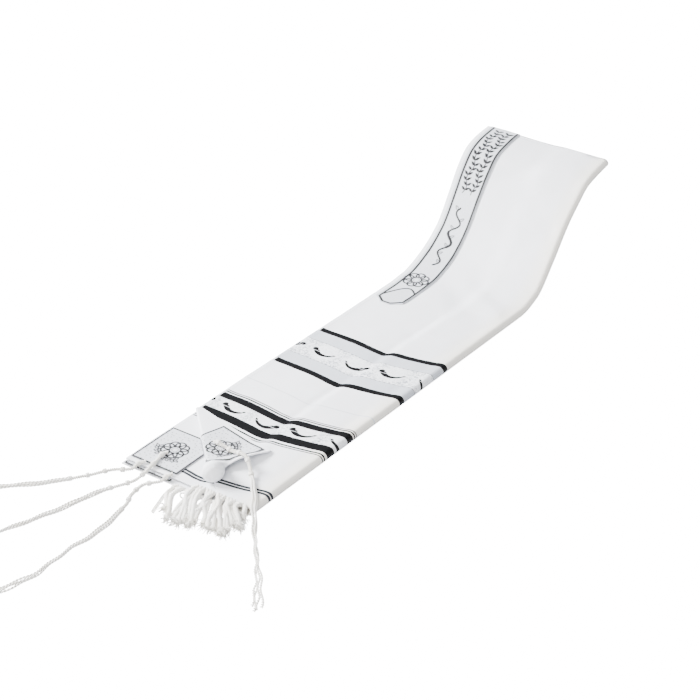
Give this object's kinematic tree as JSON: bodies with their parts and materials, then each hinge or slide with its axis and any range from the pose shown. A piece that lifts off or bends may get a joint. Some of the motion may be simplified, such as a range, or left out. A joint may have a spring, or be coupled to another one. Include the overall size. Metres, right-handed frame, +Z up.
{
  "type": "folded tallit prayer shawl",
  "caption": "Fringed prayer shawl folded in four, fringed end flat, centre fold raised, one corner folded back, with neckband, corner patches and knotted ritual tassels.",
  "frame": {"origin": "on the flat underside, on the middle line, 335 mm in from the fringed end of the cloth", "axes": "+X along the folded shawl from the fringed end to the raised centre fold, +Y from the lengthwise fold to the open hems, +Z up"},
  "size_m": [1.2163, 0.5352, 0.1788],
  "materials": {
    "striped_cloth": "matt white woven cloth with black and silver-grey stripes across",
    "white_cloth": "matt white woven cloth",
    "patch_cloth": "pale silver-grey satin with dark border lines",
    "band_cloth": "white satin with dark border lines",
    "yarn": "matt white twisted yarn"
  },
  "bodies": {
    "root": {"shawl_outer_cloth": "striped_cloth", "shawl_inner_layers": "white_cloth", "corner_flap": "white_cloth", "corner_patch_left": "patch_cloth", "corner_patch_right": "patch_cloth", "corner_patch_lower": "patch_cloth", "neckband": "band_cloth", "fringe_upper": "yarn", "fringe_lower": "yarn", "tzitzit_1": "yarn", "tzitzit_2": "yarn", "tzitzit_3": "yarn", "tzitzit_4": "yarn"}
  },
  "joints": []
}
